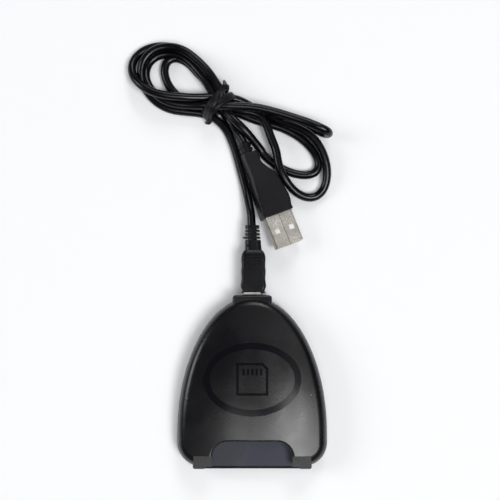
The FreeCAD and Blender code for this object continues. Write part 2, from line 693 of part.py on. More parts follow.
def usba_windows(half_h):
    size = USBA_WINDOW / 2
    y = -USBA_WINDOW_BACK
    return [box(x - size, y - size, -half_h, x + size, y + size, half_h)
            for x in (-USBA_WINDOW_APART / 2, USBA_WINDOW_APART / 2)]


def usb_plug_shell():
    w, h = USBA_WIDTH / 2, USBA_HEIGHT / 2
    outer = box(-w, -USBA_OUT, -h, w, 5, h)
    along = [e for e in outer.Edges if e.BoundBox.YLength > 10]
    outer = outer.makeFillet(0.6, along)
    s = USBA_SHELL
    inner = box(-w + s, -USBA_OUT - 1, -h + s, w - s, 6, h - s)
    along = [e for e in inner.Edges if e.BoundBox.YLength > 10]
    inner = inner.makeFillet(0.3, along)
    seam = box(-0.06, -USBA_OUT - 1, h - 0.12, 0.06, 0, h + 1)
    dimple = cylinder(0.45, 0.15, 0, -1.7, h - 0.15)
    return usba_place(outer.cut(inner).cut(join(usba_windows(4) + [seam, dimple])))


def usba_pins():
    half_h = USBA_HEIGHT / 2 - USBA_SHELL
    z0 = half_h - 2.2
    return [box(x - 0.5, -USBA_OUT + 1.6, z0, x + 0.5, -1, z0 + 0.2)
            for x in (-3.5, -1.0, 1.0, 3.5)]


def usb_plug_insulator():
    half = USBA_WIDTH / 2 - USBA_SHELL - 0.35
    half_h = USBA_HEIGHT / 2 - USBA_SHELL
    plate = box(-half, -USBA_OUT + 0.5, half_h - 2.2, half, 5, half_h)
    root = box(-half, -0.8, -half_h, half, 5, half_h - 2.0)
    body = plate.fuse(root)
    return usba_place(body.cut(join(usba_pins())))


def usb_plug_contacts():
    return usba_place(Part.makeCompound(usba_pins()))


def usb_plug_grip():
    """Flared grip whose tail bends a little to the left: distance back, width, share of thickness, shift."""
    rows = [(0.0, 13.5, 1.0, 0.1), (4.0, 13.5, 1.0, 0.15), (8.0, 13.2, 0.99, 0.2), (12.0, 12.3, 0.96, 0.2),
            (16.0, 10.8, 0.92, 0.1), (20.0, 7.9, 0.85, -0.9), (24.0, 6.3, 0.78, -1.6),
            (USBA_GRIP_LENGTH, 5.6, 0.72, -1.85)]
    wires = [rounded_section(w, t * USBA_GRIP_THICK, 0.9, V(x, s, 0)) for s, w, t, x in rows]
    body = Part.makeLoft(wires, True)
    front = [e for e in body.Edges if e.BoundBox.YMax < 0.01]
    softened = body.makeFillet(0.5, front)
    w, h = USBA_WIDTH / 2, USBA_HEIGHT / 2
    pocket = box(-w, -1, -h, w, 5, h)
    return usba_place(softened.cut(pocket))


def usb_plug_strain_relief():
    axis = NECK_TO - NECK_FROM
    step = V(axis).normalize()
    core = Part.makeCylinder(CORD_D / 2 + 0.45, axis.Length, NECK_FROM, step)
    rings = []
    for start in (0.9, 2.9):
        rings.append(Part.makeCylinder(CORD_D / 2 + 0.95, 1.1, NECK_FROM + step * start, step))
    body = join([core] + rings)
    keep = box(-10, USBA_GRIP_LENGTH, -10, 10, USBA_GRIP_LENGTH + 20, 10)
    return usba_place(body.common(keep))


# --- Cord ------------------------------------------------------------------------
def tube(points, radius):
    """Straight runs joined by tangent arcs, swept by a round section."""
    places = [V(*p) for p in points]
    edges = []
    start = places[0]
    length = 0.0
    tightest = 1e9
    for before, corner, after in zip(places, places[1:], places[2:]):
        back, ahead = before - corner, after - corner
        run = min(back.Length, ahead.Length)
        turn = math.pi - back.getAngle(ahead)
        arc_r = 0.45 * run / math.tan(turn / 2)
        tightest = min(tightest, arc_r)
        back.normalize()
        ahead.normalize()
        enter, leave = corner + back * 0.45 * run, corner + ahead * 0.45 * run
        middle_dir = (back + ahead).normalize()
        reach = arc_r / math.cos(turn / 2) - arc_r
        edges.append(Part.LineSegment(start, enter).toShape())
        edges.append(Part.Arc(enter, corner + middle_dir * reach, leave).toShape())
        length += (enter - start).Length + arc_r * turn
        start = leave
    edges.append(Part.LineSegment(start, places[-1]).toShape())
    length += (places[-1] - start).Length
    path = Part.Wire(edges)
    section = Part.Wire(Part.Circle(places[0], places[1] - places[0], radius).toShape())
    solid = path.makePipeShell([section], True, False)
    exact = math.pi * radius ** 2 * length
    print(f"tube length {length:6.1f}  tightest {tightest:5.1f}  volume ratio {solid.Volume / exact:.4f}")
    return solid


def smooth_slab(points, z0, z1):
    """A closed smooth outline raised from z0 to z1."""
    curve = Part.BSplineCurve()
    curve.interpolate([V(x, y, z0) for x, y in points], PeriodicFlag=True)
    return Part.Face(Part.Wire(curve.toShape())).extrude(V(0, 0, z1 - z0))


LEFT_OUTLINE = [(-12.8, 122.6), (-19.0, 130.6), (-26.6, 137.6), (-34.5, 140.8), (-42.0, 139.4),
                (-48.0, 134.4), (-50.6, 127.0), (-47.2, 118.6), (-40.4, 112.0), (-31.2, 108.6),
                (-20.2, 108.6), (-13.6, 112.6)]
LEFT_HOLE = [(-24.0, 122.0), (-28.0, 129.0), (-34.0, 131.0), (-36.5, 126.0), (-33.5, 120.4)]
RIGHT_OUTLINE = [(-9.6, 120.4), (1.0, 118.2), (12.0, 115.0), (24.0, 110.4), (33.2, 106.6), (34.2, 102.0),
                 (33.0, 95.0), (33.8, 87.0), (30.4, 77.6), (23.6, 73.8), (18.4, 75.6), (14.6, 80.8),
                 (10.6, 87.4), (5.6, 94.4), (0.8, 99.8), (-5.0, 104.8), (-11.4, 105.6), (-16.2, 111.4)]
RIGHT_HOLE = [(12.6, 103.0), (20.0, 100.2), (26.4, 94.0), (26.2, 90.2), (19.0, 89.8), (13.6, 93.2)]


def across_tie(length, along, z0, z1):
    """A block centred on the tie, its length lying across the bundle."""
    block = box(-along / 2, -length / 2, z0, along / 2, length / 2, z1)
    block.Placement = Placement(V(TIE_X, TIE_Y, 0), Rotation(Z, TIE_ANGLE - 90))
    return block


def tie_room():
    """What the tie holds together, face to face with its inside."""
    t = TIE_THICK
    return across_tie(TIE_SPAN - 2 * t, TIE_WIDTH, t, TIE_HEIGHT - t)


def cord_tie():
    """A ribbon band round the bundle, with its two twisted ends."""
    band = across_tie(TIE_SPAN, TIE_WIDTH, 0, TIE_HEIGHT).cut(tie_room())
    ends = []
    for side in (-1, 1):
        tail = box(-1.0, side * TIE_SPAN / 2 - (2.4 if side < 0 else 0), 1.2,
                   1.0, side * TIE_SPAN / 2 + (2.4 if side > 0 else 0), 2.0)
        tail.Placement = Placement(V(TIE_X, TIE_Y, 0), Rotation(Z, TIE_ANGLE - 90))
        ends.append(tail)
    return join([band] + ends)


def cord_hank():
    """Outer shape of the tied loops, with its waist in the tie."""
    left = smooth_slab(LEFT_OUTLINE, 0, HANK_TOP)
    left = left.cut(smooth_slab(LEFT_HOLE, -1, HANK_TOP + 1))
    right = smooth_slab(RIGHT_OUTLINE, 0, HANK_TOP)
    right = right.cut(smooth_slab(RIGHT_HOLE, -1, HANK_TOP + 1))
    clear = across_tie(TIE_SPAN + 9, TIE_WIDTH, -1, HANK_TOP + 2)
    return left.fuse(right).cut(clear).fuse(tie_room())


def main():
    write("upper_case", upper_case())
    write("lower_case", lower_case())
    write("case_screws", case_screws())
    write("emblem_ring", inlay(plan_ring(RING_HALF_X, RING_HALF_Y, RING_WIDTH, RING_Y)))
    write("emblem_card", Part.makeCompound([inlay(b) for b in icon_blocks()]))
    write("main_board", main_board())
    write("card_slot_housing", card_slot_housing())
    write("card_contacts", card_contacts())
    write("card_contact_tails", contact_tails())
    write("usb_socket_shell", usb_socket_shell())
    write("usb_socket_tongue", usb_socket_tongue())
    write("usb_socket_contacts", usb_socket_contacts())
    controller, memory = CONTROLLER_PLACE + CONTROLLER_HALF, MEMORY_PLACE + MEMORY_HALF
    write("controller_chip", chip(*controller, CONTROLLER_HIGH))
    write("controller_leads", Part.makeCompound(chip_leads(*controller, 8, 0.8)))
    write("memory_chip", chip(*memory, MEMORY_HIGH))
    write("memory_leads", Part.makeCompound(chip_leads(*memory, 4, 1.2)))
    write("crystal", crystal())
    write("capacitors", small_parts(CAPACITOR_PLACES, *CAPACITOR))
    write("resistors", small_parts(RESISTOR_PLACES, *RESISTOR))
    write("mini_plug_shell", mini_plug_shell())
    write("mini_plug_insulator", mini_plug_insulator())
    write("mini_plug_contacts", mini_plug_contacts())
    write("mini_plug_grip", mini_plug_grip())
    write("mini_plug_strain_relief", mini_plug_strain_relief())
    write("usb_plug_shell", usb_plug_shell())
    write("usb_plug_insulator", usb_plug_insulator())
    write("usb_plug_contacts", usb_plug_contacts())
    write("usb_plug_grip", usb_plug_grip())
    write("usb_plug_strain_relief", usb_plug_strain_relief())
    write("cord_lead", tube([tuple(CORD_EXIT)] + LEAD_ROUTE, CORD_D / 2))
    neck = usba_place(Part.Vertex(NECK_TO)).Point
    write("cord_tail", tube(TAIL_ROUTE + [tuple(neck)], CORD_D / 2))
    write("cord_hank", cord_hank())
    write("cord_tie", cord_tie())


main()
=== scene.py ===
"""Desktop card reader: looks and layout of the reader, its lead, the wound cord and its tie."""
import math

import bpy
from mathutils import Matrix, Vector


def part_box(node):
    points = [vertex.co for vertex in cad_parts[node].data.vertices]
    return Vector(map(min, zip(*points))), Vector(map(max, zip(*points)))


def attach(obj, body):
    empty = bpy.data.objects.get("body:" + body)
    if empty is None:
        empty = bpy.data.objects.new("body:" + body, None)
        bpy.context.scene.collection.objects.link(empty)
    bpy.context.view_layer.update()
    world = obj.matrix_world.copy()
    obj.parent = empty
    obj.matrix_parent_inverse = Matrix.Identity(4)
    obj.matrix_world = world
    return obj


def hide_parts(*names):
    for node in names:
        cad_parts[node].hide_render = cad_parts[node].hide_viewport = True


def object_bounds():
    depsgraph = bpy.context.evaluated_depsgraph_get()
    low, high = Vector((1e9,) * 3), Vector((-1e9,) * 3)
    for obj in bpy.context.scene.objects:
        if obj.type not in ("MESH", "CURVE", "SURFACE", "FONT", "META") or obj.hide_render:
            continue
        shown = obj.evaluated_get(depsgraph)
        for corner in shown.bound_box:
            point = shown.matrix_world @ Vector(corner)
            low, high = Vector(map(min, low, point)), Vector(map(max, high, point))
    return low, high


bl_info = {
    "name": "Card reader looks",
    "version": (1, 0, 0),
    "blender": (4, 5, 0),
    "location": "3D View > Sidebar > Card Reader",
    "description": "Winds the cord, ties it and gives every piece of the card reader its finish",
    "category": "Object",
}

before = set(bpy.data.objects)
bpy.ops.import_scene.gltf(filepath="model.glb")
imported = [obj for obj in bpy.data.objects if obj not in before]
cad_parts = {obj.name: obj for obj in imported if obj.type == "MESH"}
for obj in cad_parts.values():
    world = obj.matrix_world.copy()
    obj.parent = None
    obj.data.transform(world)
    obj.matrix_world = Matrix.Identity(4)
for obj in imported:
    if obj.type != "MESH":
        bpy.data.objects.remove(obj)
CAD_BOX = [list(corner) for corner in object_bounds()]
MM = 0.001
TIE_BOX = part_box("cord_tie")

TIE_LEAN = 48.0                       # the tie's run across the bundle, in degrees from +X
USB_A_TURN = -21.8                    # swing of the USB-A plug, in degrees
SHELL_SEAM = (0.01084, 0.06857, 0.0)  # a point on the joint in the USB-A shell's top, in metres
DUST_AND_SHEEN_TOP = 0.0085                     # rubbed dust and a painted sky reflection lighten the card's floor below this height
AIM = (-0.9, 53.7, 6.5)               # what the camera looks at, in millimetres
LINE_LONG, LINE_APART = 0.0012, 0.00005   # drawn lines in metal, in metres
FLOOR_HALF = 3.0                      # half the side of the staged table top, in metres
FLOOR_GAP = 0.00002                   # the table top's clearance under the reader, in metres

# The cord's line, in millimetres, from the mini plug's neck to the USB plug's neck.
LEAD_OUT = (
    (-0.2, 63.8, 6.2), (-0.4, 68.2, 5.9), (-1.2, 73.0, 4.5), (-2.4, 78.5, 2.7),
    (-3.9, 84.5, 1.9), (-5.5, 90.5, 1.85), (-7.4, 97.3, 1.85), (-9.9, 103.4, 1.85),
    (-12.6, 107.2, 1.85), (-16.4, 110.3, 1.8), (-21.6, 112.0, 1.8),
)
OUTER_LOOP_TO_LOW_FOLD = (
    (-21.2, 131.6, 8.2), (-16.6, 126.0, 8.4), (-13.5, 120.6, 7.8), (-12.4, 115.7, 6.6),
    (-10.5, 111.3, 5.8), (-6.8, 107.2, 7.0), (-3.0, 103.6, 6.8), (0.8, 99.5, 4.2), (3.7, 96.3, 2.2),
)
LOW_FOLD_TO_INNER_LOOP = (
    (8.4, 107.0, 1.8), (2.5, 108.5, 1.8), (-3.4, 110.8, 1.8), (-9.3, 113.8, 1.8),
    (-15.2, 116.4, 1.8), (-20.7, 117.4, 1.8), (-25.0, 117.4, 1.8),
)
INNER_LOOP_TO_TALL_FOLD = (
    (-20.2, 126.4, 1.8), (-17.6, 122.1, 1.8), (-14.8, 117.5, 1.9), (-10.6, 114.2, 3.4),
    (-5.1, 112.2, 5.0), (-0.1, 111.5, 5.3), (3.7, 110.0, 5.3), (6.2, 105.8, 5.3), (7.9, 100.7, 5.3),
)
TALL_FOLD_TO_TOP_LOOP = (
    (13.4, 107.6, 3.4), (7.5, 110.3, 1.9), (1.6, 113.4, 1.9), (-3.8, 116.6, 3.4),
    (-9.3, 117.9, 5.0), (-14.7, 118.0, 5.2), (-20.1, 117.6, 6.0), (-25.5, 117.3, 7.2), (-30.1, 117.5, 8.0),
)
TOP_LOOP_TO_TIP = (
    (-27.2, 137.2, 2.0), (-22.8, 133.0, 3.0), (-18.2, 128.2, 3.4), (-14.6, 123.9, 2.8),
    (-11.6, 119.8, 1.8), (-7.6, 116.3, 2.0), (-2.4, 113.6, 3.8), (4.1, 112.0, 5.2),
    (10.4, 110.8, 4.8), (16.8, 108.9, 2.6), (23.1, 106.6, 1.8), (28.2, 104.2, 1.8),
)
TIP_FOLD = ((30.9, 102.9, 2.2), (32.2, 102.4, 5.6), (31.0, 103.0, 9.0), (27.6, 104.4, 9.8))
TIP_TO_MIDDLE_LOOP = (
    (23.5, 106.4, 9.0), (17.7, 108.4, 8.6), (11.9, 110.3, 8.6), (6.1, 111.9, 8.8),
    (0.3, 113.0, 8.8), (-5.5, 113.3, 8.8), (-10.9, 113.4, 9.0), (-15.9, 113.6, 8.0),
    (-21.0, 114.1, 5.8), (-25.6, 114.6, 5.0),
)
MIDDLE_LOOP_TO_PLUG = (
    (-20.9, 127.0, 5.4), (-17.4, 122.3, 5.4), (-14.9, 117.7, 4.8), (-12.9, 113.3, 2.6),
    (-10.3, 109.8, 1.9), (-8.7, 107.3, 2.4), (-7.1, 104.6, 3.6),
    (-5.4, 101.6, 5.2), (-3.5, 98.2, 6.3),
)


def fold(centre, long_half, wide_half, turn, start, stop, heights, points):
    """The points of one hand-wound loop: part of a turned oval, from start to stop degrees.

    Its height follows heights, spread evenly along it."""
    lean = math.radians(turn)
    loop = []
    for i in range(points):
        share = i / (points - 1)
        angle = math.radians(start + (stop - start) * share)
        along, across = long_half * math.cos(angle), wide_half * math.sin(angle)
        step = share * (len(heights) - 1)
        k = min(int(step), len(heights) - 2)
        z = heights[k] + (heights[k + 1] - heights[k]) * (step - k)
        loop.append((
            centre[0] + along * math.cos(lean) - across * math.sin(lean),
            centre[1] + along * math.sin(lean) + across * math.cos(lean),
            z,
        ))
    return tuple(loop)


def cord_route():
    """Every control point of the cord, loop after loop, in millimetres."""
    return (
        LEAD_OUT
        + fold((-32.7, 126.1), 15.4, 12.4, -37, 318, 104, (1.8, 1.8, 1.9, 4.0, 5.2, 5.6, 6.8), 9)
        + OUTER_LOOP_TO_LOW_FOLD
        + fold((14.5, 96.0), 15.5, 7.8, -33, -116, 112, (1.8, 1.8, 1.9), 10)
        + LOW_FOLD_TO_INNER_LOOP
        + fold((-29.2, 126.4), 10.5, 6.6, -55, 321, 83, (1.8, 1.8), 9)
        + INNER_LOOP_TO_TALL_FOLD
        + fold((20.8, 90.4), 15.3, 9.8, 112, 55, 330, (5.3, 6.5, 3.0, 1.8, 1.8, 3.8, 5.3, 5.0), 12)
        + TALL_FOLD_TO_TOP_LOOP
        + fold((-35.6, 129.4), 15.6, 11.4, -14, 282, 90, (8.2, 7.8, 4.6, 2.0, 1.8, 1.8), 9)
        + TOP_LOOP_TO_TIP
        + TIP_FOLD
        + TIP_TO_MIDDLE_LOOP
        + fold((-33.2, 126.2), 13.0, 10.2, -38, 313, 88, (4.8, 4.6, 4.2, 1.9, 1.8, 2.4, 3.8), 9)
        + MIDDLE_LOOP_TO_PLUG
    )


# The tie's turns round the bundle: slide in millimetres, slant in degrees, and swell.
TIE_TURNS = (
    ("tie_turn_low", -1.9, -9.0, 0.0),
    ("tie_turn_middle", 1.4, 4.0, 0.25),
    ("tie_turn_cross", -0.4, -17.0, 0.75),
    ("tie_turn_top", 0.5, 15.0, 1.2),
)
# The bundle's outline where the tie grips it: along the tie's line and up, in millimetres.
BUNDLE_OUTLINE = (
    (-7.3, 1.2), (-7.6, 3.2), (-6.4, 6.6), (-4.6, 9.6), (-1.6, 11.0), (1.8, 10.4),
    (4.8, 9.0), (7.3, 6.4), (7.6, 3.0), (6.8, 0.75), (3.0, 0.5), (0.0, 0.5), (-4.0, 0.5), (-6.6, 0.6),
)
# The tie's three ends, two twisted together on top and bent over and one hanging low beside the
# bundle: along its line, across it and up.
TIE_ENDS = (
    ("tie_end_long", ((1.0, 0.9, 10.9), (3.0, 1.9, 12.0), (5.2, 1.4, 11.6),
                      (7.0, 2.7, 9.8), (8.4, 3.6, 7.2), (9.0, 3.5, 5.0))),
    ("tie_end_short", ((1.6, -0.6, 10.8), (3.4, 1.0, 11.2), (5.0, 2.6, 12.2),
                       (6.4, 1.2, 11.6), (7.4, 0.2, 10.2))),
    ("tie_end_low", ((-6.2, -1.8, 6.4), (-7.6, -2.4, 4.6), (-8.3, -2.2, 2.6), (-8.2, -1.2, 1.2))),
)


class ReaderCaseFinish(bpy.types.PropertyGroup):
    """Colours and surface of the moulded case."""
    shell_colour: bpy.props.FloatVectorProperty(
        name="Shell colour", description="The plastic of both cases", subtype="COLOR", size=3, min=0, max=1,
        default=(0.0030, 0.0030, 0.0040))
    shell_roughness: bpy.props.FloatProperty(
        name="Shell roughness", description="How matt the upper case is", subtype="FACTOR",
        min=0, max=1, default=0.23)
    # Painted sky reflection mixed with rubbed dust: the lighter blue-grey tint of the card floor's upward
    # faces.
    dust_and_sheen_colour: bpy.props.FloatVectorProperty(
        name="Dust and sheen colour", description="Rubbed dust and a painted sky sheen on the lower case's card floor",
        subtype="COLOR", size=3, min=0, max=1, default=(0.040, 0.043, 0.062))
    tray_roughness: bpy.props.FloatProperty(
        name="Tray roughness", description="How matt the lower case is", subtype="FACTOR",
        min=0, max=1, default=0.36)
    emblem_colour: bpy.props.FloatVectorProperty(
        name="Emblem colour", description="The ring and card inlays", subtype="COLOR", size=3, min=0, max=1,
        default=(0.004, 0.004, 0.006))
    grain_size: bpy.props.FloatProperty(
        name="Grain size", description="Width of one grain of the moulded texture", subtype="DISTANCE",
        unit="LENGTH", min=0.0001, max=0.01, default=0.00042)


class ReaderLeadFinish(bpy.types.PropertyGroup):
    """Sizes and colours of the lead, its plugs and its tie."""
    cord_diameter: bpy.props.FloatProperty(
        name="Cord diameter", description="The round cord's outside diameter",
        subtype="DISTANCE", unit="LENGTH", min=0.002, max=0.006, default=0.0035)
    cord_colour: bpy.props.FloatVectorProperty(
        name="Cord colour", description="The cord's soft jacket", subtype="COLOR", size=3, min=0, max=1,
        default=(0.0022, 0.0022, 0.0032))
    grip_colour: bpy.props.FloatVectorProperty(
        name="Grip colour", description="Both plugs' moulded grips", subtype="COLOR", size=3, min=0, max=1,
        default=(0.0042, 0.0042, 0.0056))
    plate_colour: bpy.props.FloatVectorProperty(
        name="Plate colour", description="Nickel plate of the plug shells",
        subtype="COLOR", size=3, min=0, max=1, default=(0.76, 0.72, 0.66))
    tie_width: bpy.props.FloatProperty(
        name="Tie width", description="Width of the tie's flat ribbon", subtype="DISTANCE", unit="LENGTH",
        min=0.001, max=0.006, default=0.0026)
    tie_thickness: bpy.props.FloatProperty(
        name="Tie thickness", description="Thickness of the tie's ribbon over its wire core",
        subtype="DISTANCE", unit="LENGTH", min=0.0003, max=0.002, default=0.0009)


class ReaderStage(bpy.types.PropertyGroup):
    """The floor, the lights and the camera."""
    floor_colour: bpy.props.FloatVectorProperty(
        name="Floor colour", description="The pale table top", subtype="COLOR", size=3, min=0, max=1,
        default=(0.93, 0.94, 0.955))
    key_power: bpy.props.FloatProperty(
        name="Key power", description="The soft box near the card slot", unit="POWER",
        min=0, max=500, default=27.0)
    fill_power: bpy.props.FloatProperty(
        name="Fill power", description="The soft boxes at the side and behind", unit="POWER",
        min=0, max=500, default=10.0)
    sky_strength: bpy.props.FloatProperty(
        name="Sky strength", description="The room's even light", min=0, max=5, default=0.38)
    camera_height: bpy.props.FloatProperty(
        name="Camera angle", description="The camera's angle above the table",
        subtype="ANGLE", unit="ROTATION", min=0, max=math.pi / 2, default=math.radians(85))
    camera_distance: bpy.props.FloatProperty(
        name="Camera distance", description="From the camera to the point that it looks at",
        subtype="DISTANCE", unit="LENGTH", min=0.1, max=3, default=0.4)
    lens: bpy.props.FloatProperty(
        name="Lens", description="The camera's focal length", unit="CAMERA", min=20, max=200, default=70)


def add(tree, kind, inputs=(), **settings):
    """Places one shader node with its settings, and gives each input a value or another node's output."""
    made = tree.nodes.new(kind)
    for name, value in settings.items():
        setattr(made, name, value)
    for key, value in dict(inputs).items():
        if isinstance(value, bpy.types.NodeSocket):
            tree.links.new(value, made.inputs[key])
        else:
            made.inputs[key].default_value = value
    return made


def maths(tree, operation, first, second=0.0, third=0.0, clamp=False):
    """One arithmetic node's result."""
    return add(tree, "ShaderNodeMath", {0: first, 1: second, 2: third},
               operation=operation, use_clamp=clamp).outputs[0]


def remap(tree, value, low, high, to_low=0.0, to_high=1.0):
    """value smoothly carried from low..high to to_low..to_high."""
    return add(tree, "ShaderNodeMapRange", {0: value, 1: low, 2: high, 3: to_low, 4: to_high},
               interpolation_type="SMOOTHSTEP").outputs[0]


def effect(name, inputs, outputs):
    """An empty node group with these named inputs and outputs, its inner tree's ends ready to wire."""
    group = bpy.data.node_groups.new(name, "ShaderNodeTree")
    for label, default in inputs:
        given = group.interface.new_socket(label, in_out="INPUT", socket_type="NodeSocketFloat")
        given.default_value = default
    for label in outputs:
        group.interface.new_socket(label, in_out="OUTPUT", socket_type="NodeSocketFloat")
    return group, group.nodes.new("NodeGroupInput"), group.nodes.new("NodeGroupOutput")


def moulded_grain():
    """Fine pebbled texture of a mould's surface, with the plastic's slow cloudiness."""
    group, given, result = effect("moulded_grain", (("Size", 0.0004), ("Cloud", 0.02)),
                                  ("Height", "Tone", "Cloud"))
    place = add(group, "ShaderNodeTexCoord").outputs["Object"]
    fine = maths(group, "DIVIDE", 1.0, given.outputs["Size"])
    slow = maths(group, "DIVIDE", 1.0, given.outputs["Cloud"])
    cells = add(group, "ShaderNodeTexVoronoi", {"Vector": place, "Scale": fine}, feature="SMOOTH_F1")
    noise = add(group, "ShaderNodeTexNoise",
                {"Vector": place, "Scale": maths(group, "MULTIPLY", fine, 0.6), "Detail": 3.0})
    cloud = add(group, "ShaderNodeTexNoise", {"Vector": place, "Scale": slow, "Detail": 4.0})
    height = maths(group, "MULTIPLY_ADD", cells.outputs["Distance"], -0.6, noise.outputs[0])
    group.links.new(height, result.inputs["Height"])
    group.links.new(noise.outputs[0], result.inputs["Tone"])
    group.links.new(remap(group, cloud.outputs[0], 0.3, 0.7), result.inputs["Cloud"])


def settled_dust():
    """Sparse pale specks, each a little different in size."""
    group, given, result = effect("settled_dust", (("Spacing", 0.006), ("Speck", 0.05)), ("Mask",))
    place = add(group, "ShaderNodeTexCoord").outputs["Object"]
    closeness = maths(group, "DIVIDE", 1.0, given.outputs["Spacing"])
    dots = add(group, "ShaderNodeTexVoronoi", {"Vector": place, "Scale": closeness}, feature="F1")
    chance = add(group, "ShaderNodeSeparateColor", {0: dots.outputs["Color"]}).outputs[0]
    size = maths(group, "MULTIPLY", given.outputs["Speck"], chance)
    inside = maths(group, "LESS_THAN", dots.outputs["Distance"], size)
    group.links.new(maths(group, "MULTIPLY", inside, remap(group, chance, 0.35, 0.9)), result.inputs["Mask"])


def fine_scuffs():
    """Hair-thin rub marks in two directions, patchy over the surface."""
    group, given, result = effect("fine_scuffs", (("Length", 0.012), ("Width", 0.0003)), ("Mask",))
    place = add(group, "ShaderNodeTexCoord").outputs["Object"]
    along = maths(group, "DIVIDE", 1.0, given.outputs["Length"])
    across = maths(group, "DIVIDE", 1.0, given.outputs["Width"])
    marks = []
    for turn in (0.5, -0.9):
        spun = add(group, "ShaderNodeMapping", {"Vector": place, "Rotation": (0.0, 0.0, turn)})
        stretch = add(group, "ShaderNodeCombineXYZ", {0: along, 1: across, 2: along})
        scaled = add(group, "ShaderNodeVectorMath", {0: spun.outputs[0], 1: stretch.outputs[0]},
                     operation="MULTIPLY")
        lines = add(group, "ShaderNodeTexNoise", {"Vector": scaled.outputs[0], "Scale": 1.0, "Detail": 1.0})
        marks.append(remap(group, lines.outputs[0], 0.66, 0.74))
    patch = add(group, "ShaderNodeTexNoise", {"Vector": place, "Scale": maths(group, "MULTIPLY", along, 0.7)})
    both = maths(group, "MAXIMUM", marks[0], marks[1])
    patchy = maths(group, "MULTIPLY", both, remap(group, patch.outputs[0], 0.45, 0.65))
    group.links.new(patchy, result.inputs["Mask"])


def blend(tree, share, first, second):
    """The colour that lies share of the way from first to second."""
    return add(tree, "ShaderNodeMix", {0: share, 6: first, 7: second}, data_type="RGBA").outputs[2]


def use(tree, name, **values):
    """Places a shared effect, with its own value for each input that is named."""
    placed = tree.nodes.new("ShaderNodeGroup")
    placed.node_tree = bpy.data.node_groups[name]
    for label, value in values.items():
        placed.inputs[label].default_value = value
    return placed


def shifted(colour, factor):
    """colour made lighter or darker, as the four numbers of a colour socket."""
    return tuple(min(1.0, channel * factor) for channel in colour[:3]) + (1.0,)


def surface(name):
    """A new material's tree and its Principled shader."""
    material = bpy.data.materials.new(name)
    material.use_nodes = True
    tree = material.node_tree
    return material, tree, tree.nodes["Principled BSDF"]


def plastic(name, colour, roughness, grain, bump, dust=0.0, scuff=0.0, spread=0.12, gloss=0.20,
            dust_and_sheen_tint=None):
    """Moulded plastic: cloudy colour, mould grain, rub marks and, where it is asked for, dust, and a lighter
    blue-grey tint on low upward faces that is partly rubbed dust and partly a painted sky reflection.
    """
    material, tree, shader = surface(name)
    texture = use(tree, "moulded_grain", Size=grain, Cloud=0.018)
    marks = use(tree, "fine_scuffs")
    base = blend(tree, texture.outputs["Cloud"], shifted(colour, 0.86), shifted(colour, 1.14))
    worn = maths(tree, "MULTIPLY", marks.outputs["Mask"], scuff, clamp=True)
    base = blend(tree, worn, base, shifted(colour, 2.6))
    rough = maths(tree, "MULTIPLY_ADD", texture.outputs["Cloud"], spread, roughness - spread / 2)
    rough = maths(tree, "MULTIPLY_ADD", texture.outputs["Tone"], spread / 2, rough)
    rough = maths(tree, "MULTIPLY_ADD", worn, 0.12, rough, clamp=True)
    if dust_and_sheen_tint:
        # Painted sky reflection mixed with rubbed dust: upward faces below the given height get a lighter
        # blue-grey tint.
        place = add(tree, "ShaderNodeTexCoord")
        facing = add(tree, "ShaderNodeSeparateXYZ", {0: place.outputs["Normal"]}).outputs["Z"]
        height = add(tree, "ShaderNodeSeparateXYZ", {0: place.outputs["Object"]}).outputs["Z"]
        dust_and_sheen_mask = maths(tree, "MULTIPLY", remap(tree, facing, 0.75, 0.97),
                     remap(tree, texture.outputs["Cloud"], -0.6, 0.5))
        dust_and_sheen_mask = maths(tree, "MULTIPLY", dust_and_sheen_mask, remap(tree, height, DUST_AND_SHEEN_TOP, DUST_AND_SHEEN_TOP - 0.0005))
        base = blend(tree, dust_and_sheen_mask, base, (*dust_and_sheen_tint, 1.0))
        rough = maths(tree, "MULTIPLY_ADD", dust_and_sheen_mask, 0.18, rough)
    if dust:
        specks = use(tree, "settled_dust", Speck=dust)
        base = blend(tree, specks.outputs["Mask"], base, (0.30, 0.30, 0.31, 1.0))
        rough = maths(tree, "MULTIPLY_ADD", specks.outputs["Mask"], 0.5, rough, clamp=True)
    tree.links.new(base, shader.inputs["Base Color"])
    tree.links.new(rough, shader.inputs["Roughness"])
    shader.inputs["Specular IOR Level"].default_value = gloss
    relief = add(tree, "ShaderNodeBump",
                 {"Height": texture.outputs["Height"], "Strength": 1.0, "Distance": bump})
    tree.links.new(relief.outputs[0], shader.inputs["Normal"])
    return material


